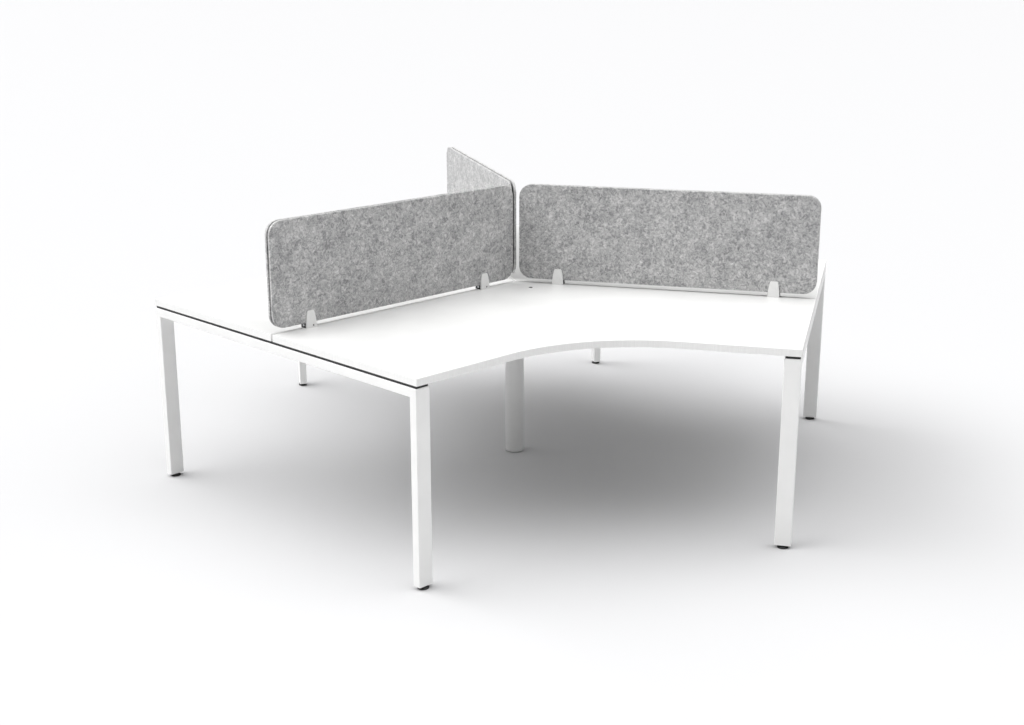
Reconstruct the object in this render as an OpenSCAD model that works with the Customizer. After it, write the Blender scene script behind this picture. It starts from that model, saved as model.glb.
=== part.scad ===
// Three-seat office workstation. Three worktops meet at a round centre post, and each of
// the three joints between them carries a rail, an end frame and a grey felt screen.
// The origin is on the floor under the centre post, and +Z is up.
// The front seat faces -Y, and the other two seats follow every third of a turn.

/* [Worktops] */
// Length of a joint between two worktops, from the centre to the outer end
joint_l = 1200; // [1000:20:1600]
// Distance from a joint to the straight part of a worktop's front edge
top_depth = 764; // [700:4:820]
// Height of the worktops' upper face above the floor
top_h = 725; // [680:5:760]
// Thickness of a worktop
board_t = 25; // [18:1:32]
// Gap between two neighbouring worktops
top_gap = 9; // [7:1:13]
// Radius of the curved front edge where the user sits
front_r = 600; // [300:20:700]
// Thickness of the edge band
band_t = 2; // [1:0.5:3]
// Outer diameter of the liner in a cable hole
liner_d = 17; // [14:1:30]
// Wall of the liner
liner_wall = 1.5; // [1:0.5:2.5]

/* [Frames] */
// Width of the rectangular steel tube, along a joint in the legs
tube_w = 58; // [50:1:70]
// Thickness of the rectangular steel tube
tube_t = 32; // [28:1:40]
// Wall of the rectangular tube
tube_wall = 1.5; // [1.5:0.5:2.5]
// Outer corner radius of the rectangular tube
tube_r = 3; // [3:0.5:5]
// Shadow gap between the frame and the worktops
shadow_gap = 10; // [8:1:16]
// Distance by which the dark strip in the shadow gap is set back from the beam's faces
strip_inset = 4; // [2:1:12]
// Distance by which a worktop's front edge stands past the leg
overhang = 4; // [0:1:30]
// Diameter of the round centre post
post_d = 76; // [70:1:90]
// Wall of the centre post
post_wall = 2; // [1.5:0.5:3]
// Gap between the centre post and the floor
post_lift = 3; // [2:1:8]

/* [Levelling feet] */
// Height of the legs' lower ends above the floor
foot_h = 12; // [10:1:20]
// Diameter of the foot under a leg
foot_d = 40; // [34:1:50]
// Diameter of the foot inside the centre post
post_foot_d = 62; // [50:1:64]
// Diameter of a foot's threaded stem
stem_d = 10; // [8:1:12]
// Distance by which a foot can be screwed out
foot_travel = 15; // [10:1:25]

/* [Screens] */
// Height of a screen
screen_h = 380; // [300:10:600]
// Height of a screen's lower edge above the worktops
screen_lift = 18; // [14:1:40]
// Distance from the centre to a screen's inner end
screen_in = 22; // [16:1:60]
// Corner radius of a screen
screen_r = 50; // [20:5:80]
// Thickness of one felt panel
felt_t = 9; // [6:1:12]
// Thickness of the dark core between the two felt panels
core_t = 8; // [4:1:12]
// Distance from the felt's edge in to the core
core_inset = 12; // [8:1:20]

/* [Screen brackets] */
// Distance from a screen's end to the middle of its bracket
bracket_in = 161; // [140:1:300]
// Width of a bracket plate at the worktop
bracket_w = 45; // [40:1:60]
// Width of a bracket plate at its upper end
bracket_top_w = 28; // [24:1:36]
// Height of a bracket plate
bracket_h = 62; // [50:1:80]
// Thickness of a bracket plate at the worktop
bracket_foot_t = 7; // [6:0.5:9]
// Thickness of a bracket plate at its upper end
bracket_top_t = 3; // [2:0.5:4]

/* [Hidden] */
$fn = 96;
seats = 3;
seat_turn = 360 / seats;
seat_half = seat_turn / 2;
first_joint_angle = 270 - seat_half;
cut = 2;

// Levels
board_z = top_h - board_t;
frame_z = board_z - shadow_gap;
tube_z = frame_z - tube_t;

// Frame plan
frame_half = top_depth - overhang;
beam_x = joint_l - tube_w / 2;
plate_t = 4;
plate_w = 110;
plate_bolt_margin = 12;
plate_bolt_y = plate_w / 2 - plate_bolt_margin;
rail_in = 20;
rail_out = joint_l - tube_w - plate_t;

// Cable hole, from the centre towards the user and sideways
cable_out = 127;
cable_side = 32;

// Post head: one arm of flat steel under the end of each rail
head_t = 6;
arm_l = 105;
arm_bolt_edge = 17;
arm_bolt_pitch = 30;
arm_bolts = [arm_l - arm_bolt_edge - arm_bolt_pitch, arm_l - arm_bolt_edge];

// Bolts that join the frame
bolt_d = 8;
bolt_l = 20;
bolt_head_d = 14;
bolt_head_h = 5;
bolt_gap = 0.2;

// Screws that hold the worktops, each through a strip or a spacer
screw_d = 6;
screw_bite = 17;
screw_head_d = 12;
screw_head_h = 3;
screw_gap = 0.1;
access_d = 14;
spacer_d = 22;
spacer_gap = 0.4;
beam_spot_shares = [0.2, 0.8];
rail_spot_y = tube_w / 2 - spacer_d / 2;
rail_spot_edge = 20;
rail_spots = [arm_l + rail_spot_edge, (rail_in + rail_out) / 2, rail_out - rail_spot_edge];

// Levelling feet
plug_l = 20;
plug_fit = 0.15;
stem_gap = 0.08;
foot_gap = 0.3;
foot_rim_h = 5;
foot_edge = 1.5;
foot_neck_d = 24;
foot_floor = 3;
post_boss_d = 24;
post_base_t = 8;

// Screen brackets
block_wall = felt_t + core_t / 2;
key_l = 30;
key_h = 12;
key_fit = 0.3;
clamp_l = 40;
clamp_w = 60;
clamp_t = 4;
clamp_screw_x = 9;
clamp_screw_d = 6;
clamp_head_d = 10;
clamp_head_h = 5;
clamp_tip = 3;
side_screw_x = -7;
side_screw_z = 8;
side_screw_d = 6;
side_screw_sunk = 3;
side_screw_bite = 3;
end_screw_y = 3;
end_screw_z = 10;
end_screw_d = 5;
end_screw_bite = 5;
end_head_d = 8;
end_head_h = 2.5;
bracket_corner_r = 3;

joint_names = ["1", "2", "3"];
side_names = ["a", "b"];
sides = [1, -1];
leg_names = [for (j = joint_names) for (s = side_names) str(j, s)];

// A seat's own frame: the user sits at -Y.
module at_seat(k) {
    rotate([0, 0, seat_turn * k]) children();
}

// A joint's own frame: the joint runs out along +X, and sides are at +Y and -Y.
module on_joint(k) {
    rotate([0, 0, first_joint_angle + seat_turn * k]) children();
}

// A point in a seat's frame, x along the joint at one side and y in from that joint
function seat_point(x, y, side) = [
    side * (x * sin(seat_half) - y * cos(seat_half)),
    -x * cos(seat_half) - y * sin(seat_half)
];

// Worktop outline, drawn in from its edge by inset
module board_outline(inset) {
    near = top_gap / 2 + inset;
    deep = top_depth - inset;
    end = joint_l - inset;
    r = front_r + inset;
    bend = (deep + r) / tan(seat_half);
    arc_y = -(deep + r) / sin(seat_half);
    difference() {
        polygon([
            [0, -near / sin(seat_half)],
            seat_point(end, near, -1),
            seat_point(end, deep, -1),
            seat_point(bend, deep, -1),
            [0, arc_y],
            seat_point(bend, deep, 1),
            seat_point(end, deep, 1),
            seat_point(end, near, 1)
        ]);
        translate([0, arc_y]) circle(r = r, $fn = 240);
    }
}

// Places on one side of a joint where a screw holds the worktop
module beam_fixings(side) {
    for (share = beam_spot_shares) translate([beam_x, side * share * frame_half, 0]) children();
}

module rail_fixings(side) {
    for (x = rail_spots) translate([x, side * rail_spot_y, 0]) children();
}

module fixings(side) {
    beam_fixings(side) children();
    rail_fixings(side) children();
}

// Melamine-faced board with pilot holes from below and its cable hole
module worktop(k) {
    color("white") at_seat(k) difference() {
        translate([0, 0, board_z]) linear_extrude(board_t) board_outline(band_t);
        translate([cable_side, -cable_out, board_z - cut]) cylinder(d = liner_d, h = board_t + 2 * cut);
        on_joint(0) fixings(1) pilot_hole();
        on_joint(1) fixings(-1) pilot_hole();
    }
}

module pilot_hole() {
    translate([0, 0, board_z - cut]) cylinder(d = screw_d + 2 * screw_gap, h = screw_bite + cut);
}

// Plastic edge band round the whole board
module edge_band(k) {
    color("gainsboro") at_seat(k) translate([0, 0, board_z]) linear_extrude(board_t) difference() {
        board_outline(0);
        board_outline(band_t);
    }
}

module cable_hole_liners() {
    color("black") for (k = [0 : seats - 1]) at_seat(k) translate([cable_side, -cable_out, board_z]) difference() {
        cylinder(d = liner_d, h = board_t);
        translate([0, 0, -cut]) cylinder(d = liner_d - 2 * liner_wall, h = board_t + 2 * cut);
    }
}

// Rectangle with round corners, centred
module round_rect(w, h, r) {
    square([w - 2 * r, h], center = true);
    square([w, h - 2 * r], center = true);
    for (x = [-1, 1], y = [-1, 1]) translate([x * (w / 2 - r), y * (h / 2 - r)]) circle(r = r, $fn = 32);
}

// Section of the rectangular tube, its width along x
module tube_section() {
    difference() {
        round_rect(tube_w, tube_t, tube_r);
        round_rect(tube_w - 2 * tube_wall, tube_t - 2 * tube_wall, tube_r - tube_wall);
    }
}

// A profile drawn in y and z, extruded across the tube's width
module across_tube() {
    translate([joint_l - tube_w - cut, 0, 0]) rotate([90, 0, 90]) linear_extrude(tube_w + 2 * cut) children();
}

// Beam over two legs, mitred at both ends
module end_beam(k) {
    color("white") on_joint(k) difference() {
        intersection() {
            translate([beam_x, 0, tube_z + tube_t / 2]) rotate([90, 0, 0])
                linear_extrude(2 * frame_half, center = true) tube_section();
            across_tube() polygon([
                [-frame_half, frame_z],
                [frame_half, frame_z],
                [frame_half - tube_t, tube_z],
                [tube_t - frame_half, tube_z]
            ]);
        }
        for (side = sides) beam_fixings(side) screw_path();
        for (side = sides) translate([joint_l - tube_w - cut, side * plate_bolt_y, tube_z + tube_t / 2])
            rotate([0, 90, 0]) cylinder(d = bolt_d + 2 * bolt_gap, h = cut + tube_wall + cut);
    }
}

// Way for a worktop screw: wide through a tube's lower wall, narrow through its upper wall
module screw_path() {
    translate([0, 0, tube_z - cut]) cylinder(d = access_d, h = cut + tube_t / 2);
    translate([0, 0, tube_z + tube_t / 2]) cylinder(d = screw_d + 2 * spacer_gap, h = tube_t / 2 + cut);
}

// Leg of an end frame, mitred to the beam
module leg(k, side) {
    color("white") on_joint(k) intersection() {
        translate([beam_x, side * (frame_half - tube_t / 2), foot_h])
            linear_extrude(frame_z - foot_h) tube_section();
        across_tube() polygon([
            [side * (frame_half - tube_t), foot_h],
            [side * frame_half, foot_h],
            [side * frame_half, frame_z],
            [side * (frame_half - tube_t), tube_z]
        ]);
    }
}

// Place of a levelling foot under a leg
module under_leg(k, side) {
    on_joint(k) translate([beam_x, side * (frame_half - tube_t / 2), 0]) children();
}

// Threaded plug in the lower end of each leg
module leg_plugs() {
    inner_w = tube_w - 2 * tube_wall - 2 * plug_fit;
    inner_t = tube_t - 2 * tube_wall - 2 * plug_fit;
    color("dimgray") for (k = [0 : seats - 1], side = sides) under_leg(k, side) difference() {
        translate([0, 0, foot_h]) linear_extrude(plug_l) round_rect(inner_w, inner_t, tube_r - tube_wall);
        translate([0, 0, foot_h - cut]) cylinder(d = stem_d + 2 * stem_gap, h = plug_l + 2 * cut);
    }
}

// Round foot: a rim on the floor, a cone and a neck with a blind socket
module foot_pad_body(d, neck_d) {
    top = foot_h - foot_gap;
    color("black") difference() {
        rotate_extrude() polygon([
            [0, 0],
            [d / 2 - foot_edge, 0],
            [d / 2, foot_edge],
            [d / 2, foot_rim_h - foot_edge],
            [d / 2 - foot_edge, foot_rim_h],
            [neck_d / 2, (foot_rim_h + top) / 2],
            [neck_d / 2, top],
            [0, top]
        ]);
        translate([0, 0, foot_floor]) cylinder(d = stem_d + 2 * stem_gap, h = foot_h);
    }
}

// Stem from the foot's socket through the plug, still held when the foot is screwed out
module foot_stem_body() {
    color("silver") translate([0, 0, foot_floor])
        cylinder(d = stem_d, h = foot_h + plug_l + foot_travel - foot_floor);
}

module foot_pad(k, side) {
    under_leg(k, side) foot_pad_body(foot_d, foot_neck_d);
}

module foot_stem(k, side) {
    under_leg(k, side) foot_stem_body();
}

module centre_foot_pad() {
    foot_pad_body(post_foot_d, post_boss_d);
}

module centre_foot_stem() {
    foot_stem_body();
}

// Round tube from just over the floor to the head plate
module centre_post() {
    color("white") translate([0, 0, post_lift]) difference() {
        cylinder(d = post_d, h = tube_z - head_t - post_lift);
        translate([0, 0, -cut]) cylinder(d = post_d - 2 * post_wall, h = tube_z);
    }
}

// Steel disc and threaded boss inside the post's lower end
module post_base() {
    color("dimgray") difference() {
        union() {
            translate([0, 0, foot_h]) cylinder(d = post_d - 2 * post_wall - 2 * plug_fit, h = post_base_t);
            translate([0, 0, foot_h]) cylinder(d = post_boss_d, h = plug_l);
        }
        translate([0, 0, foot_h - cut]) cylinder(d = stem_d + 2 * stem_gap, h = plug_l + 2 * cut);
    }
}

// Three-armed plate on top of the post
module post_head() {
    color("white") translate([0, 0, tube_z - head_t]) difference() {
        union() {
            cylinder(d = post_d, h = head_t);
            for (k = [0 : seats - 1]) on_joint(k) translate([0, -tube_w / 2, 0]) cube([arm_l, tube_w, head_t]);
        }
        for (k = [0 : seats - 1], x = arm_bolts) on_joint(k) translate([x, 0, -cut])
            cylinder(d = bolt_d + 2 * bolt_gap, h = head_t + 2 * cut);
    }
}

// Rail under a joint, from the post head to the end frame
module rail(k) {
    color("white") on_joint(k) difference() {
        translate([rail_in, 0, tube_z + tube_t / 2]) rotate([90, 0, 90])
            linear_extrude(rail_out - rail_in) tube_section();
        for (side = sides) rail_fixings(side) screw_path();
        for (x = arm_bolts) translate([x, 0, tube_z - cut])
            cylinder(d = bolt_d + 2 * bolt_gap, h = cut + tube_t / 2);
    }
}

// Plate across each rail's outer end, bolted to the beam on both sides of the rail
module rail_end_plates() {
    color("white") for (k = [0 : seats - 1]) on_joint(k) difference() {
        translate([rail_out, -plate_w / 2, tube_z]) cube([plate_t, plate_w, tube_t]);
        for (side = sides) translate([rail_out - cut, side * plate_bolt_y, tube_z + tube_t / 2])
            rotate([0, 90, 0]) cylinder(d = bolt_d + 2 * bolt_gap, h = plate_t + 2 * cut);
    }
}

// Hexagon bolt, its head at the origin and its shank along +Z
module bolt() {
    translate([0, 0, -bolt_head_h]) cylinder(d = bolt_head_d, h = bolt_head_h, $fn = 6);
    cylinder(d = bolt_d, h = bolt_l);
}

module frame_bolts() {
    color("silver") for (k = [0 : seats - 1]) on_joint(k) {
        for (x = arm_bolts) translate([x, 0, tube_z - head_t]) bolt();
        for (side = sides) translate([rail_out, side * plate_bolt_y, tube_z + tube_t / 2])
            rotate([0, 90, 0]) bolt();
    }
}

// Way for a worktop screw through a strip or a spacer
module spacer_hole() {
    translate([0, 0, frame_z - cut]) cylinder(d = screw_d + 2 * spacer_gap, h = shadow_gap + 2 * cut);
}

// Dark strip in the shadow gap, along the top of each beam
module beam_strips() {
    w = tube_w - 2 * strip_inset;
    half = frame_half - strip_inset;
    color("black") for (k = [0 : seats - 1]) on_joint(k) difference() {
        translate([beam_x - w / 2, -half, frame_z]) cube([w, 2 * half, shadow_gap]);
        for (side = sides) beam_fixings(side) spacer_hole();
    }
}

// Round spacers that make the same gap over the rails
module top_spacers() {
    color("black") for (k = [0 : seats - 1], side = sides) on_joint(k) difference() {
        rail_fixings(side) translate([0, 0, frame_z]) cylinder(d = spacer_d, h = shadow_gap);
        rail_fixings(side) spacer_hole();
    }
}

// Screws whose heads bear on the inside of a tube's upper wall
module worktop_screws() {
    seat_z = frame_z - tube_wall;
    color("silver") for (k = [0 : seats - 1], side = sides) on_joint(k) fixings(side) {
        translate([0, 0, seat_z - screw_head_h]) cylinder(d = screw_head_d, h = screw_head_h);
        translate([0, 0, seat_z]) cylinder(d = screw_d, h = board_z + screw_bite - seat_z);
    }
}

// Upright panel with round corners, drawn in from the screen's edge by inset,
// from side y_low to side y_high
module screen_panel(inset, y_low, y_high) {
    w = joint_l - screen_in - 2 * inset;
    h = screen_h - 2 * inset;
    translate([(joint_l + screen_in) / 2, y_high, top_h + screen_lift + screen_h / 2])
        rotate([90, 0, 0]) linear_extrude(y_high - y_low) round_rect(w, h, screen_r - inset);
}

module felt_panel(k, side) {
    low = core_t / 2;
    high = core_t / 2 + felt_t;
    color("darkgray") on_joint(k)
        screen_panel(0, side > 0 ? low : -high, side > 0 ? high : -low);
}

module screen_core(k) {
    color("black") on_joint(k) screen_panel(core_inset, -core_t / 2, core_t / 2);
}

// Both bracket places along a joint, at the level of the worktops
module at_brackets(k) {
    on_joint(k) for (x = [screen_in + bracket_in, joint_l - bracket_in]) translate([x, 0, top_h]) children();
}

// Front view of a bracket plate: bowed sides between a wide foot and a narrow round-cornered top
module bracket_face() {
    lean = (bracket_w - bracket_top_w) / 2;
    side_r = (bracket_h * bracket_h + lean * lean) / (2 * lean);
    top_half = bracket_top_w / 2 - bracket_corner_r;
    intersection() {
        union() {
            translate([-bracket_w / 2, 0]) square([bracket_w, bracket_h - bracket_corner_r]);
            translate([-top_half, 0]) square([2 * top_half, bracket_h]);
            for (x = [-1, 1]) translate([x * top_half, bracket_h - bracket_corner_r]) circle(r = bracket_corner_r);
        }
        translate([bracket_w / 2 - side_r, 0]) circle(r = side_r, $fn = 240);
        translate([side_r - bracket_w / 2, 0]) circle(r = side_r, $fn = 240);
    }
}

// Side view of a bracket plate: thick at the foot, thin at the top
module bracket_wedge() {
    polygon([
        [block_wall, 0],
        [block_wall + bracket_foot_t, 0],
        [block_wall + bracket_foot_t, side_screw_z],
        [block_wall + bracket_top_t, bracket_h],
        [block_wall, bracket_h]
    ]);
}

module bracket_plate() {
    intersection() {
        translate([0, block_wall + bracket_foot_t + cut, 0]) rotate([90, 0, 0])
            linear_extrude(bracket_foot_t + 2 * cut) bracket_face();
        translate([-bracket_w / 2 - cut, 0, 0]) rotate([90, 0, 90])
            linear_extrude(bracket_w + 2 * cut) bracket_wedge();
    }
}

module side_screw_hole(y_low, y_high) {
    translate([side_screw_x, y_high, side_screw_z]) rotate([90, 0, 0])
        cylinder(d = side_screw_d + 2 * screw_gap, h = y_high - y_low);
}

// Two plates at each bracket: the screw enters the first and ends in the second
module bracket_plates(k) {
    deep = block_wall + bracket_foot_t + cut;
    color("whitesmoke") at_brackets(k) {
        difference() {
            bracket_plate();
            side_screw_hole(0, deep);
        }
        difference() {
            mirror([0, 1, 0]) bracket_plate();
            side_screw_hole(-block_wall - side_screw_bite, 0);
        }
    }
}

// Dark block that a screen stands on, with a key that drops into the gap between the worktops
module bracket_blocks() {
    color("black") for (k = [0 : seats - 1]) at_brackets(k) difference() {
        union() {
            translate([-bracket_w / 2, -block_wall, 0]) cube([bracket_w, 2 * block_wall, screen_lift]);
            translate([-key_l / 2, key_fit - top_gap / 2, -key_h]) cube([key_l, top_gap - 2 * key_fit, key_h + cut]);
        }
        translate([clamp_screw_x, 0, -key_h - cut])
            cylinder(d = clamp_screw_d + 2 * screw_gap, h = key_h + screen_lift + 2 * cut);
        translate([clamp_screw_x, 0, screen_lift - clamp_head_h])
            cylinder(d = clamp_head_d + 2 * screw_gap, h = clamp_head_h + cut);
        side_screw_hole(-block_wall - cut, block_wall + cut);
        translate([bracket_w / 2 - end_screw_bite, end_screw_y, end_screw_z]) rotate([0, 90, 0])
            cylinder(d = end_screw_d + 2 * screw_gap, h = end_screw_bite + cut);
    }
}

// Steel plate under the worktops that the clamp screw pulls up
module clamp_plates() {
    color("silver") for (k = [0 : seats - 1]) at_brackets(k) translate([0, 0, -board_t - clamp_t]) difference() {
        translate([-clamp_l / 2, -clamp_w / 2, 0]) cube([clamp_l, clamp_w, clamp_t]);
        translate([clamp_screw_x, 0, -cut]) cylinder(d = clamp_screw_d + 2 * screw_gap, h = clamp_t + 2 * cut);
    }
}

module clamp_screws() {
    low = -board_t - clamp_t - clamp_tip;
    color("silver") for (k = [0 : seats - 1]) at_brackets(k) translate([clamp_screw_x, 0, 0]) {
        translate([0, 0, low]) cylinder(d = clamp_screw_d, h = screen_lift - clamp_head_h - low);
        translate([0, 0, screen_lift - clamp_head_h]) cylinder(d = clamp_head_d, h = clamp_head_h);
    }
}

// Socket screws through plate and block, sunk below the first plate's face
module bracket_screws() {
    high = block_wall + bracket_foot_t - side_screw_sunk;
    color("silver") for (k = [0 : seats - 1]) at_brackets(k)
        translate([side_screw_x, high, side_screw_z]) rotate([90, 0, 0])
            cylinder(d = side_screw_d, h = high + block_wall + side_screw_bite);
}

// Small pan-head screw in each block's outer end
module block_end_screws() {
    color("silver") for (k = [0 : seats - 1]) at_brackets(k)
        translate([bracket_w / 2, end_screw_y, end_screw_z]) rotate([0, 90, 0]) {
            cylinder(d = end_head_d, h = end_head_h);
            translate([0, 0, -end_screw_bite]) cylinder(d = end_screw_d, h = end_screw_bite);
        }
}

for (k = [0 : seats - 1]) {
    worktop(k);
    edge_band(k);
    end_beam(k);
    rail(k);
    screen_core(k);
    bracket_plates(k);
    for (s = [0, 1]) {
        name = str(joint_names[k], side_names[s]);
        leg(k, sides[s]);
        foot_pad(k, sides[s]);
        foot_stem(k, sides[s]);
        felt_panel(k, sides[s]);
    }
}
cable_hole_liners();
leg_plugs();
centre_post();
post_base();
post_head();
centre_foot_pad();
centre_foot_stem();
rail_end_plates();
frame_bolts();
beam_strips();
top_spacers();
worktop_screws();
bracket_blocks();
clamp_plates();
clamp_screws();
bracket_screws();
block_end_screws();
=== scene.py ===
from math import atan2, cos, pi, radians, sin

import bmesh
import bpy
from mathutils import Matrix, Vector


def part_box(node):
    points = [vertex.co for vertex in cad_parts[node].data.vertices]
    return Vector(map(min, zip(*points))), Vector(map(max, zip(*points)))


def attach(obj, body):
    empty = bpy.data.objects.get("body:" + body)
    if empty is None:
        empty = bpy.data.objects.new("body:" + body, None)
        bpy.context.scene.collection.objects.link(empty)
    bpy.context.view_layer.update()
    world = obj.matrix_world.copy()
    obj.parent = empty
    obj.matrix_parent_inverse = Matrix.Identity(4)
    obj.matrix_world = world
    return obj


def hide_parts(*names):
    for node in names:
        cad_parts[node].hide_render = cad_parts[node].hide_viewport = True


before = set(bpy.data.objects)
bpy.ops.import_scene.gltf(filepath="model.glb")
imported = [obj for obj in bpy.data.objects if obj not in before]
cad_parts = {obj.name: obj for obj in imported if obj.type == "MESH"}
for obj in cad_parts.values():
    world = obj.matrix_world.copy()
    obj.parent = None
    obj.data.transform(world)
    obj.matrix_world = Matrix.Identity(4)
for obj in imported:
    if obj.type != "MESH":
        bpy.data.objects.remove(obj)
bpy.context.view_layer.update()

# ---- The photograph's camera ----
# It stands in front and to the left of the front seat, above the screens' upper edges. Its place,
# lens and two turns, in degrees, come from the corners measured in the photograph. It sees as far
# as the floor's far edge.
looks_down = 16.015
looks_right = 14.996
sees_as_far_as = 1000
camera_data = bpy.data.cameras.new("photo_camera")
camera_data.sensor_width = 36
camera_data.lens = 49.85
camera_data.clip_end = sees_as_far_as
camera = bpy.data.objects.new("photo_camera", camera_data)
camera.location = (-1.4657, -5.4304, 1.9952)
camera.rotation_euler = (radians(90 - looks_down), 0, radians(-looks_right))
bpy.context.scene.collection.objects.link(camera)
bpy.context.scene.camera = camera

# ---- End frames, rails and centre post ----
# Welded frames of rectangular steel tube and a round tube post, all with a white satin powder
# coat. The coat is a little uneven, as baked powder is, and rounds every edge.
mm = 0.001


def linear(hex_colour):
    """A screen colour as the linear values that a shader takes"""
    steps = [int(hex_colour[i:i + 2], 16) / 255 for i in (0, 2, 4)]
    return [s / 12.92 if s <= 0.04045 else ((s + 0.055) / 1.055) ** 2.4 for s in steps] + [1]


def add(finish, kind, sockets=None, stops=None, **settings):
    """Adds one node to a finish. A socket takes a value, or the output that feeds it, and a colour
    ramp takes its stops as (position, screen colour) pairs."""
    node = finish.node_tree.nodes.new(kind)
    for name, value in settings.items():
        setattr(node, name, value)
    for name, value in (sockets or {}).items():
        if isinstance(value, bpy.types.NodeSocket):
            finish.node_tree.links.new(value, node.inputs[name])
        else:
            node.inputs[name].default_value = value
    if stops:
        ramp = node.color_ramp
        while len(ramp.elements) < len(stops):
            ramp.elements.new(0.5)
        for element, (position, colour) in zip(ramp.elements, stops):
            element.position = position
            element.color = linear(colour)
    return node


def new_finish(name, colour, roughness, metallic=0.0):
    """A finish with its even values set on the shader, and the place on the piece to pattern it by"""
    finish = bpy.data.materials.new(name)
    finish.use_nodes = True
    surface = finish.node_tree.nodes["Principled BSDF"]
    surface.inputs["Base Color"].default_value = linear(colour)
    surface.inputs["Roughness"].default_value = roughness
    surface.inputs["Metallic"].default_value = metallic
    finish.diffuse_color = linear(colour)
    place = add(finish, "ShaderNodeTexCoord").outputs["Object"]
    return finish, surface, place


def feed(surface, socket, output):
    """Lets a node's output feed a socket of the shader"""
    surface.id_data.links.new(output, surface.inputs[socket])


# Powder coat: a soft satin white. The orange peel of baked powder has waves of 2.4 mm, and the
# coat's thickness, and with it the gloss, changes a little over a hand's breadth. Each pattern's
# scale is one over the size of its grain.
powder, surface, place = new_finish("white_powder_coat", "f2f2f1", 0.42)
peel = add(powder, "ShaderNodeTexNoise", {
    "Vector": place, "Scale": 1 / (2.4 * mm), "Detail": 2, "Roughness": 0.5})
cloud = add(powder, "ShaderNodeTexNoise", {
    "Vector": place, "Scale": 1 / (140 * mm), "Detail": 3, "Roughness": 0.6})
feed(surface, "Base Color", add(powder, "ShaderNodeValToRGB", {"Fac": cloud.outputs["Fac"]}, stops=[
    (0.3, "f0f0ef"), (0.7, "f5f5f4")]).outputs["Color"])
feed(surface, "Roughness", add(powder, "ShaderNodeMapRange", {
    "Value": cloud.outputs["Fac"], "To Min": 0.36, "To Max": 0.5}).outputs["Result"])
feed(surface, "Normal", add(powder, "ShaderNodeBump", {
    "Height": peel.outputs["Fac"], "Strength": 0.12, "Distance": 0.05 * mm}).outputs["Normal"])


def coat(finish, *nodes):
    """Gives CAD nodes their finish"""
    for node in nodes:
        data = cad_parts[node].data
        data.materials.clear()
        data.materials.append(finish)


def joined_copy(node):
    """A CAD node's mesh as a bmesh, its loose triangles joined and its flat faces made whole"""
    shape = bmesh.new()
    shape.from_mesh(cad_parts[node].data)
    bmesh.ops.remove_doubles(shape, verts=shape.verts, dist=0.001 * mm)
    bmesh.ops.dissolve_limit(shape, angle_limit=radians(0.3), verts=shape.verts, edges=shape.edges)
    return shape


def soften(shape, width, segments=2, least_angle=30):
    """Rounds the edges that turn by more than the least angle, in degrees"""
    edges = [e for e in shape.edges if e.is_manifold and e.calc_face_angle(0) > radians(least_angle)]
    bmesh.ops.bevel(shape, geom=edges, offset=width, offset_type="OFFSET", affect="EDGES",
                    segments=segments, profile=0.5, material=-1, clamp_overlap=True)


def piece(name, shape, finish, body, slot_name, *stands_for):
    """Makes a shown piece of a bmesh, smooth but for its real edges. It rides on a body and takes
    the place of CAD nodes."""
    data = bpy.data.meshes.new(name)
    shape.to_mesh(data)
    shape.free()
    data.materials.append(finish)
    for face in data.polygons:
        face.use_smooth = True
    data.set_sharp_from_angle(angle=radians(50))
    made = bpy.data.objects.new(name, data)
    bpy.context.scene.collection.objects.link(made)
    even = made.modifiers.new("even_shading", "WEIGHTED_NORMAL")
    even.keep_sharp = True
    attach(made, body)
    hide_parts(*stands_for)
    return made


joints = ("1", "2", "3")
legs = ("1a", "1b", "2a", "2b", "3a", "3b")
coated_edge = 0.3 * mm
for node in ([f"end_beam_{j}" for j in joints] + [f"leg_{name}" for name in legs]
             + [f"rail_{j}" for j in joints] + ["centre_post", "post_head", "rail_end_plates"]):
    shape = joined_copy(node)
    soften(shape, coated_edge)
    piece(f"coated_{node}", shape, powder, "frame", "white_steel", node)

# ---- Levelling feet ----
# A moulded black foot under each leg and under the post, on a zinc-plated threaded stem that
# screws into a steel plug in the tube. The stem only shows when a foot is screwed out.

# Black moulded plastic: nearly black with a satin gloss. The mould leaves a leather-like grain,
# drawn 1.1 mm wide because a real one is too fine to show, and dust greys it in patches of 17 mm.
moulded, surface, place = new_finish("black_moulded_plastic", "1b1b1c", 0.5)
grain = add(moulded, "ShaderNodeTexVoronoi", {"Vector": place, "Scale": 1 / (1.1 * mm)})
dust = add(moulded, "ShaderNodeTexNoise", {
    "Vector": place, "Scale": 1 / (17 * mm), "Detail": 4, "Roughness": 0.6})
feed(surface, "Base Color", add(moulded, "ShaderNodeValToRGB", {"Fac": dust.outputs["Fac"]}, stops=[
    (0.35, "161617"), (0.75, "272728")]).outputs["Color"])
feed(surface, "Roughness", add(moulded, "ShaderNodeMapRange", {
    "Value": dust.outputs["Fac"], "To Min": 0.4, "To Max": 0.62}).outputs["Result"])
feed(surface, "Normal", add(moulded, "ShaderNodeBump", {
    "Height": grain.outputs["Distance"], "Strength": 0.25, "Distance": 0.06 * mm}).outputs["Normal"])

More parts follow.
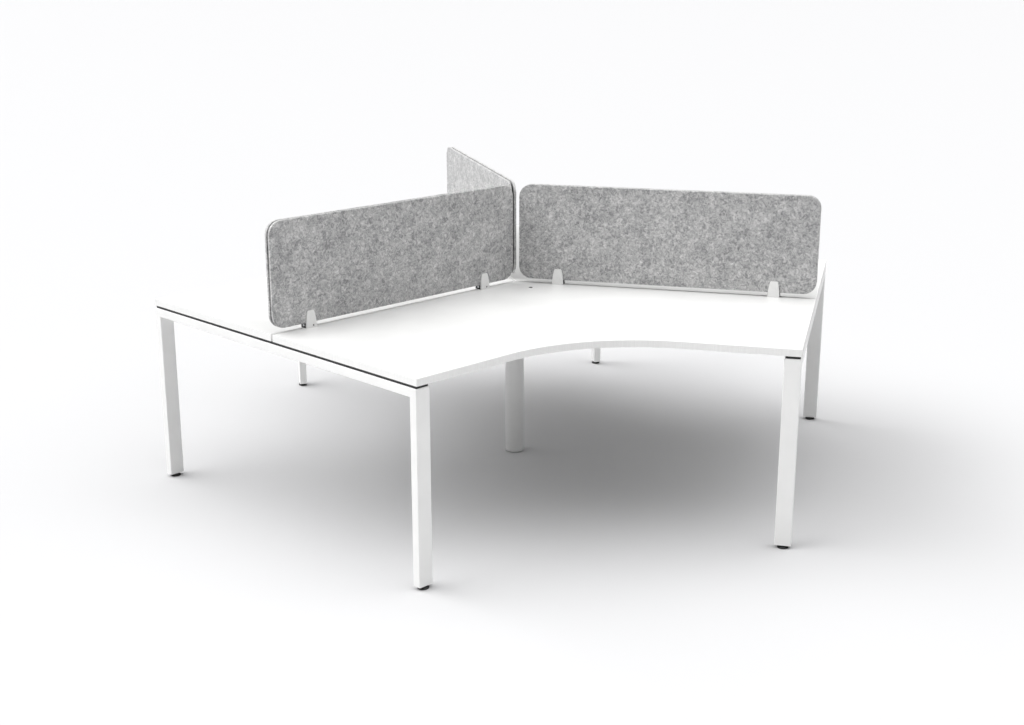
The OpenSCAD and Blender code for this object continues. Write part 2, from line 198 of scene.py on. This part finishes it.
# Zinc plate: bright and faintly blue, clouded in patches of 6 mm where parts rubbed in the barrel
zinc, surface, place = new_finish("bright_zinc_plate", "c3c6c9", 0.3, metallic=1.0)
haze = add(zinc, "ShaderNodeTexNoise", {
    "Vector": place, "Scale": 1 / (6 * mm), "Detail": 4, "Roughness": 0.6})
feed(surface, "Base Color", add(zinc, "ShaderNodeValToRGB", {"Fac": haze.outputs["Fac"]}, stops=[
    (0.3, "b4b8bb"), (0.7, "d2d4d6")]).outputs["Color"])
feed(surface, "Roughness", add(zinc, "ShaderNodeMapRange", {
    "Value": haze.outputs["Fac"], "To Min": 0.22, "To Max": 0.42}).outputs["Result"])
feed(surface, "Normal", add(zinc, "ShaderNodeBump", {
    "Height": haze.outputs["Fac"], "Strength": 0.1, "Distance": 0.05 * mm}).outputs["Normal"])

# Blacked steel of the plugs inside the tubes and of the bracket screws: dark grey, with paler
# scuffs of about 11 mm from handling.
black_steel, surface, place = new_finish("blacked_steel", "2a2a2b", 0.45)
scuff = add(black_steel, "ShaderNodeTexNoise", {
    "Vector": place, "Scale": 1 / (11 * mm), "Detail": 3, "Roughness": 0.6})
feed(surface, "Base Color", add(black_steel, "ShaderNodeValToRGB", {"Fac": scuff.outputs["Fac"]}, stops=[
    (0.35, "222223"), (0.75, "39393a")]).outputs["Color"])
feed(surface, "Roughness", add(black_steel, "ShaderNodeMapRange", {
    "Value": scuff.outputs["Fac"], "To Min": 0.38, "To Max": 0.6}).outputs["Result"])
feed(surface, "Normal", add(black_steel, "ShaderNodeBump", {
    "Height": scuff.outputs["Fac"], "Strength": 0.1, "Distance": 0.05 * mm}).outputs["Normal"])
coat(black_steel, "leg_plugs", "post_base")

# The stems have the standard thread of a 10 mm screw
stem_r = 5 * mm
pitch = 1.5 * mm
thread_depth = 0.8 * mm
rows_to_a_turn = 6
round_steps = 18


def threaded_stem(centre, length):
    """A rod with its thread rolled into it: the grooves are a triangular wave that climbs as it
    goes round"""
    shape = bmesh.new()
    bmesh.ops.create_cone(shape, cap_ends=True, segments=round_steps,
                          radius1=stem_r, radius2=stem_r, depth=length)
    upright = [e for e in shape.edges if abs(e.verts[0].co.z - e.verts[1].co.z) > length / 2]
    bmesh.ops.subdivide_edges(shape, edges=upright, cuts=round(length / pitch * rows_to_a_turn) - 1)
    for v in shape.verts:
        turns = v.co.z / pitch - atan2(v.co.y, v.co.x) / (2 * pi)
        reach = 1 - thread_depth / stem_r * abs(2 * (turns % 1) - 1)
        v.co = (v.co.x * reach, v.co.y * reach, v.co.z)
    bmesh.ops.translate(shape, vec=centre, verts=shape.verts)
    return shape


pad_edge = 0.6 * mm
for name in legs + ("centre",):
    pad = "centre_foot_pad" if name == "centre" else f"foot_pad_{name}"
    stem = "centre_foot_stem" if name == "centre" else f"foot_stem_{name}"
    shape = joined_copy(pad)
    soften(shape, pad_edge, least_angle=35)
    piece(f"moulded_{pad}", shape, moulded, f"foot_{name}", "black_plastic", pad)
    low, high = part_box(stem)
    shape = threaded_stem((low + high) / 2, high.z - low.z)
    piece(f"threaded_{stem}", shape, zinc, f"foot_{name}", "zinc_steel", stem)

# ---- Worktops ----
# Particle board with a white satin melamine face, a 2 mm plastic edge band glued round it and
# trimmed to a small radius, and a black liner pressed into the cable hole.

# Melamine: a satin white paper face pressed against a plate whose fine stipple, here 1.4 mm so
# that it shows, breaks up reflections, and whose wear makes the gloss drift over 200 mm.
melamine, surface, place = new_finish("white_melamine", "e3e3e2", 0.4)
mottle = add(melamine, "ShaderNodeTexNoise", {
    "Vector": place, "Scale": 1 / (200 * mm), "Detail": 4, "Roughness": 0.6})
stipple = add(melamine, "ShaderNodeTexNoise", {
    "Vector": place, "Scale": 1 / (1.4 * mm), "Detail": 2, "Roughness": 0.6})
feed(surface, "Base Color", add(melamine, "ShaderNodeValToRGB", {"Fac": mottle.outputs["Fac"]}, stops=[
    (0.3, "e0e0df"), (0.7, "e6e6e5")]).outputs["Color"])
feed(surface, "Roughness", add(melamine, "ShaderNodeMapRange", {
    "Value": mottle.outputs["Fac"], "To Min": 0.34, "To Max": 0.46}).outputs["Result"])
feed(surface, "Normal", add(melamine, "ShaderNodeBump", {
    "Height": stipple.outputs["Fac"], "Strength": 0.15, "Distance": 0.03 * mm}).outputs["Normal"])

# Edge band: extruded plastic, a little more matt than the board, with the faint upright marks that
# the trimmer leaves every 4 mm. The mapping draws them out twenty times in height.
band, surface, place = new_finish("white_edge_band", "f1f1f0", 0.5)
drawn_up = add(band, "ShaderNodeMapping", {"Vector": place, "Scale": (1, 1, 1 / 20)})
trimmed = add(band, "ShaderNodeTexNoise", {
    "Vector": drawn_up.outputs["Vector"], "Scale": 1 / (4 * mm), "Detail": 2, "Roughness": 0.5})
feed(surface, "Base Color", add(band, "ShaderNodeValToRGB", {"Fac": trimmed.outputs["Fac"]}, stops=[
    (0.3, "eeeeed"), (0.7, "f4f4f3")]).outputs["Color"])
feed(surface, "Normal", add(band, "ShaderNodeBump", {
    "Height": trimmed.outputs["Fac"], "Strength": 0.12, "Distance": 0.04 * mm}).outputs["Normal"])

band_edge = 0.8 * mm
liner_edge = 0.4 * mm
for j in joints:
    coat(melamine, f"worktop_{j}")
    shape = joined_copy(f"edge_band_{j}")
    soften(shape, band_edge, segments=3, least_angle=40)
    piece(f"rounded_edge_band_{j}", shape, band, "frame", "edge_band", f"edge_band_{j}")
shape = joined_copy("cable_hole_liners")
soften(shape, liner_edge, least_angle=40)
piece("moulded_cable_hole_liners", shape, moulded, "frame", "black_plastic", "cable_hole_liners")

# ---- Fixings under the worktops ----
# A black plastic strip on each beam and round spacers on the rails hold the worktops off the steel.
# The strips' black is painted shade that keeps the gap under the worktops dark. Zinc-plated bolts
# and screws go up through the tubes, and clamp plates hold the brackets.
bolt_edge = 0.5 * mm
clamp_edge = 0.6 * mm
# The beam strips' black is painted shade for the gap between worktop and beam
coat(moulded, "beam_strips", "top_spacers")
coat(zinc, "worktop_screws", "clamp_screws")
shape = joined_copy("frame_bolts")
soften(shape, bolt_edge)
piece("plated_frame_bolts", shape, zinc, "frame", "zinc_steel", "frame_bolts")
shape = joined_copy("clamp_plates")
soften(shape, clamp_edge)
piece("plated_clamp_plates", shape, zinc, "frame", "zinc_steel", "clamp_plates")

# ---- Felt screens ----
# Each screen is two stiff panels of needled polyester felt on a dark core that sits back from
# the edge, so a dark groove runs all the way round between them.

# The ends are measured along the joint from the post's axis, and the edges up from the floor
screen_in = 22 * mm
screen_end = 1200 * mm
screen_low = 743 * mm
screen_high = 1123 * mm
corner_r = 50 * mm
cut_edge_r = 1.5 * mm
felt_thick = 9 * mm
core_thick = 8 * mm


def needled(name, stops):
    """Needled felt: grey and white fibres tangled into curled flecks 13 mm apart, with finer stray
    fibres between them and faint clouds of 70 mm where the web was laid thicker. A nap of 1.1 mm,
    coarser than the real one so that it shows, catches the light as a soft sheen."""
    finish, surface, place = new_finish(name, stops[2][1], 0.95)
    flecks = add(finish, "ShaderNodeTexNoise", {
        "Vector": place, "Scale": 1 / (12.8 * mm), "Detail": 3, "Roughness": 0.56, "Distortion": 1.2})
    stray = add(finish, "ShaderNodeTexNoise", {
        "Vector": place, "Scale": 1 / (5.9 * mm), "Detail": 2, "Roughness": 0.6, "Distortion": 2})
    clouds = add(finish, "ShaderNodeTexNoise", {
        "Vector": place, "Scale": 1 / (70 * mm), "Detail": 4, "Roughness": 0.65})
    mixed = add(finish, "ShaderNodeMix", {
        "Factor": 0.3, "A": flecks.outputs["Fac"], "B": stray.outputs["Fac"]}, data_type="FLOAT")
    clouded = add(finish, "ShaderNodeMix", {
        "Factor": 0.22, "A": mixed.outputs["Result"], "B": clouds.outputs["Fac"]}, data_type="FLOAT")
    feed(surface, "Base Color", add(finish, "ShaderNodeValToRGB", {
        "Fac": clouded.outputs["Result"]}, stops=stops).outputs["Color"])
    nap = add(finish, "ShaderNodeTexNoise", {
        "Vector": place, "Scale": 1 / (1.1 * mm), "Detail": 3, "Roughness": 0.7})
    fine = add(finish, "ShaderNodeBump", {
        "Height": nap.outputs["Fac"], "Strength": 0.5, "Distance": 0.4 * mm})
    hills = add(finish, "ShaderNodeBump", {
        "Height": flecks.outputs["Fac"], "Strength": 0.35, "Distance": 0.8 * mm,
        "Normal": fine.outputs["Normal"]})
    feed(surface, "Normal", hills.outputs["Normal"])
    surface.inputs["Sheen Weight"].default_value = 0.25
    surface.inputs["Sheen Roughness"].default_value = 0.5
    return finish


felt = needled("needled_grey_felt", [
    (0.34, "727273"), (0.44, "959596"), (0.52, "b0b0b0"), (0.61, "cccbcb"), (0.7, "e3e3e2")])
# The rim faces are painted lighter than the broad faces: a painted highlight along the cut edges
rim_felt_painted_highlight = needled("felt_rim_painted_highlight", [
    (0.36, "8e8e8e"), (0.45, "a9a9a9"), (0.52, "c0c0bf"), (0.6, "d6d5d4"), (0.68, "e6e5e4")])

# Core: pressed fibre board dyed nearly black, quite matt, with bundles of fibre 3.3 mm long
core, surface, place = new_finish("dark_fibre_board", "232324", 0.8)
fibre = add(core, "ShaderNodeTexNoise", {
    "Vector": place, "Scale": 1 / (3.3 * mm), "Detail": 3, "Roughness": 0.6})
feed(surface, "Base Color", add(core, "ShaderNodeValToRGB", {"Fac": fibre.outputs["Fac"]}, stops=[
    (0.3, "1c1c1d"), (0.7, "303031")]).outputs["Color"])
feed(surface, "Normal", add(core, "ShaderNodeBump", {
    "Height": fibre.outputs["Fac"], "Strength": 0.3, "Distance": 0.2 * mm}).outputs["Normal"])
coat(core, "screen_core_1", "screen_core_2", "screen_core_3")

# The first joint is the one at the front left, and each next one is a third of a turn on
first_joint = radians(210)
next_joint = radians(120)


def turn_to_joint(k):
    """From a joint's own frame, with the joint along +X, to the object's frame"""
    return Matrix.Rotation(first_joint + k * next_joint, 4, "Z")


for k, j in enumerate(joints):
    for side, side_sign in (("a", 1), ("b", -1)):
        shape = bmesh.new()
        bmesh.ops.create_cube(shape, size=1)
        bmesh.ops.scale(shape, vec=(screen_end - screen_in, felt_thick, screen_high - screen_low),
                        verts=shape.verts)
        corners = [e for e in shape.edges if abs((e.verts[0].co - e.verts[1].co).normalized().y) > 0.9]
        bmesh.ops.bevel(shape, geom=corners, offset=corner_r, offset_type="OFFSET", affect="EDGES",
                        segments=14, profile=0.5, material=-1, clamp_overlap=False)
        rim = [e for e in shape.edges if e.calc_face_angle(0) > radians(60)]
        bmesh.ops.bevel(shape, geom=rim, offset=cut_edge_r, offset_type="OFFSET", affect="EDGES",
                        segments=3, profile=0.5, material=-1, clamp_overlap=True)
        for face in shape.faces:
            # The broad faces take the felt, and the rim faces take the lighter felt of the painted
            # highlight
            face.material_index = 0 if abs(face.normal.y) > 0.99 else 1
        middle = Vector(((screen_in + screen_end) / 2, side_sign * (core_thick + felt_thick) / 2,
                         (screen_low + screen_high) / 2))
        bmesh.ops.translate(shape, vec=middle, verts=shape.verts)
        bmesh.ops.transform(shape, matrix=turn_to_joint(k), verts=shape.verts)
        panel = piece(f"needled_panel_{j}{side}", shape, felt, "frame", "grey_felt",
                      f"felt_panel_{j}{side}")
        # The second slot holds the rim's painted highlight
        panel.data.materials.append(rim_felt_painted_highlight)

# ---- Screen brackets ----
# White coated die-cast plates clamp each screen from both sides over a black moulded block,
# drawn together by a blacked socket screw below the felt. The block's end has a plated screw.

# Coated casting: smoother and a little glossier than the tubes, with a peel of 2.1 mm and the
# gloss dulled in patches of 25 mm where hands have touched it.
casting, surface, place = new_finish("white_coated_casting", "eaeae9", 0.36)
peel = add(casting, "ShaderNodeTexNoise", {
    "Vector": place, "Scale": 1 / (2.1 * mm), "Detail": 2, "Roughness": 0.5})
wear = add(casting, "ShaderNodeTexNoise", {
    "Vector": place, "Scale": 1 / (25 * mm), "Detail": 3, "Roughness": 0.6})
feed(surface, "Base Color", add(casting, "ShaderNodeValToRGB", {"Fac": wear.outputs["Fac"]}, stops=[
    (0.3, "e7e7e6"), (0.7, "ededec")]).outputs["Color"])
feed(surface, "Roughness", add(casting, "ShaderNodeMapRange", {
    "Value": wear.outputs["Fac"], "To Min": 0.3, "To Max": 0.44}).outputs["Result"])
feed(surface, "Normal", add(casting, "ShaderNodeBump", {
    "Height": peel.outputs["Fac"], "Strength": 0.12, "Distance": 0.05 * mm}).outputs["Normal"])

plate_edge = 0.8 * mm
block_edge = 0.7 * mm
for j in joints:
    shape = joined_copy(f"bracket_plates_{j}")
    soften(shape, plate_edge, segments=3)
    piece(f"cast_bracket_plates_{j}", shape, casting, "frame", "white_bracket", f"bracket_plates_{j}")
shape = joined_copy("bracket_blocks")
soften(shape, block_edge)
piece("moulded_bracket_blocks", shape, moulded, "frame", "black_plastic", "bracket_blocks")

# Each bracket's middle is measured along the joint from the post's axis, and its screw sits a
# little nearer to the post. The screw runs across the joint, and its head is nearly flush with the
# plate, as the dark dots in the photograph show.
bracket_places = (183 * mm, 1039 * mm)
side_screw_x = -7 * mm
side_screw_z = 733 * mm
side_screw_r = 3 * mm
side_screw_high = 19.4 * mm
side_screw_low = -16 * mm
head_ring = 0.5 * mm
socket_ring = 0.6 * mm
socket_across = 3 * mm
socket_deep = 2.4 * mm
screw = bmesh.new()
bmesh.ops.create_cone(screw, cap_ends=True, segments=24, radius1=side_screw_r, radius2=side_screw_r,
                      depth=side_screw_high - side_screw_low)
head = max(screw.faces, key=lambda f: f.calc_center_median().z)
bmesh.ops.inset_region(screw, faces=[head], thickness=head_ring, depth=0)
bmesh.ops.inset_region(screw, faces=[head], thickness=socket_ring, depth=0)
# The inner ring becomes the socket's hexagon: each corner moves straight in or out to its outline
for v in head.verts:
    turned = atan2(v.co.y, v.co.x)
    reach = socket_across / 2 / cos((turned + pi / 6) % (pi / 3) - pi / 6)
    v.co.x = reach * cos(turned)
    v.co.y = reach * sin(turned)
well = bmesh.ops.extrude_discrete_faces(screw, faces=[head])["faces"][0]
bmesh.ops.translate(screw, vec=(0, 0, -socket_deep), verts=well.verts)
screw_mesh = bpy.data.meshes.new("bracket_screw")
screw.to_mesh(screw_mesh)
screw.free()
screws = bmesh.new()
for k in range(len(joints)):
    for bracket_x in bracket_places:
        kept = len(screws.verts)
        screws.from_mesh(screw_mesh)
        screws.verts.ensure_lookup_table()
        centre = Vector((bracket_x + side_screw_x, (side_screw_high + side_screw_low) / 2, side_screw_z))
        place_screw = turn_to_joint(k) @ Matrix.Translation(centre) @ Matrix.Rotation(-pi / 2, 4, "X")
        bmesh.ops.transform(screws, matrix=place_screw, verts=screws.verts[kept:])
piece("blacked_bracket_screws", screws, black_steel, "frame", "dark_steel", "bracket_screws")
end_screw_dome = 1.2 * mm
shape = joined_copy("block_end_screws")
soften(shape, end_screw_dome, segments=3)
piece("plated_block_end_screws", shape, zinc, "frame", "zinc_steel", "block_end_screws")

# ---- Floor ----
# A plain pale floor that runs out to white far behind the object. It goes down with the centre
# foot, so the object still stands on it when all its feet are screwed out.
floor_reach = 600
floor_paint = new_finish("pale_floor", "cacacb", 0.9)[0]
plane = bmesh.new()
bmesh.ops.create_grid(plane, x_segments=1, y_segments=1, size=floor_reach)
floor_mesh = bpy.data.meshes.new("floor")
plane.to_mesh(floor_mesh)
plane.free()
floor_mesh.materials.append(floor_paint)
floor = bpy.data.objects.new("floor", floor_mesh)
bpy.context.scene.collection.objects.link(floor)
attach(floor, "foot_centre")

# ---- Studio light ----
# A soft ceiling light straight above, a broad softbox to the left and a weak one to the right,
# found by matching the brightness of the photograph's surfaces. White comes out white on screen.
bpy.context.scene.view_settings.view_transform = "Standard"

# The level directions to the middles of the softboxes
to_left = (-0.951, 0.309, 0)
to_right = (0.883, -0.469, 0)
left_strength = 6.6
right_strength = 1.7
ceiling_strength = 2.35
faint_light = 0.06
# Heights in the sky are the sine of the angle above the floor. The softboxes start at 24 and 20
# degrees and are full about 10 degrees higher, and the ceiling takes over from 44 to 64 degrees.
left_rim = 0.4
right_rim = 0.35
rim_fade = 0.15
ceiling_rim = 0.7
ceiling_full = 0.9
# Across, a softbox fades with the cosine of the angle from its middle
faded_out = 0.35
brightest = 1.1
sky = bpy.data.worlds.new("studio_light")
sky.use_nodes = True
outward = add(sky, "ShaderNodeTexCoord").outputs["Generated"]
height = add(sky, "ShaderNodeSeparateXYZ", {"Vector": outward}).outputs["Z"]
level = add(sky, "ShaderNodeVectorMath", {0: outward, 1: (1, 1, 0)}, operation="MULTIPLY")
heading = add(sky, "ShaderNodeVectorMath", {0: level.outputs["Vector"]}, operation="NORMALIZE")


def softbox(middle, rim, strength):
    """The light of one side, strongest at its middle, gone at 70 degrees from it and below its rim"""
    towards = add(sky, "ShaderNodeVectorMath", {
        0: heading.outputs["Vector"], 1: middle}, operation="DOT_PRODUCT")
    across = add(sky, "ShaderNodeMapRange", {
        "Value": towards.outputs["Value"], "From Min": faded_out, "From Max": brightest},
        interpolation_type="SMOOTHSTEP")
    upward = add(sky, "ShaderNodeMapRange", {
        "Value": height, "From Min": rim, "From Max": rim + rim_fade, "To Max": strength})
    return add(sky, "ShaderNodeMath", {
        0: across.outputs["Result"], 1: upward.outputs["Result"]}, operation="MULTIPLY").outputs["Value"]


sides = add(sky, "ShaderNodeMath", {
    0: softbox(to_left, left_rim, left_strength),
    1: softbox(to_right, right_rim, right_strength)}, operation="ADD")
all_round = add(sky, "ShaderNodeMath", {0: sides.outputs["Value"], 1: faint_light}, operation="ADD")
overhead = add(sky, "ShaderNodeMapRange", {
    "Value": height, "From Min": ceiling_rim, "From Max": ceiling_full})
glow = add(sky, "ShaderNodeMix", {
    "Factor": overhead.outputs["Result"], "A": all_round.outputs["Value"], "B": ceiling_strength},
    data_type="FLOAT")
# The camera sees plain white behind the floor, which lights nothing
seen = add(sky, "ShaderNodeLightPath").outputs["Is Camera Ray"]
shown = add(sky, "ShaderNodeMix", {
    "Factor": seen, "A": glow.outputs["Result"], "B": 1}, data_type="FLOAT")
backdrop = sky.node_tree.nodes["Background"]
backdrop.inputs["Color"].default_value = (1, 1, 1, 1)
feed(backdrop, "Strength", shown.outputs["Result"])
bpy.context.scene.world = sky
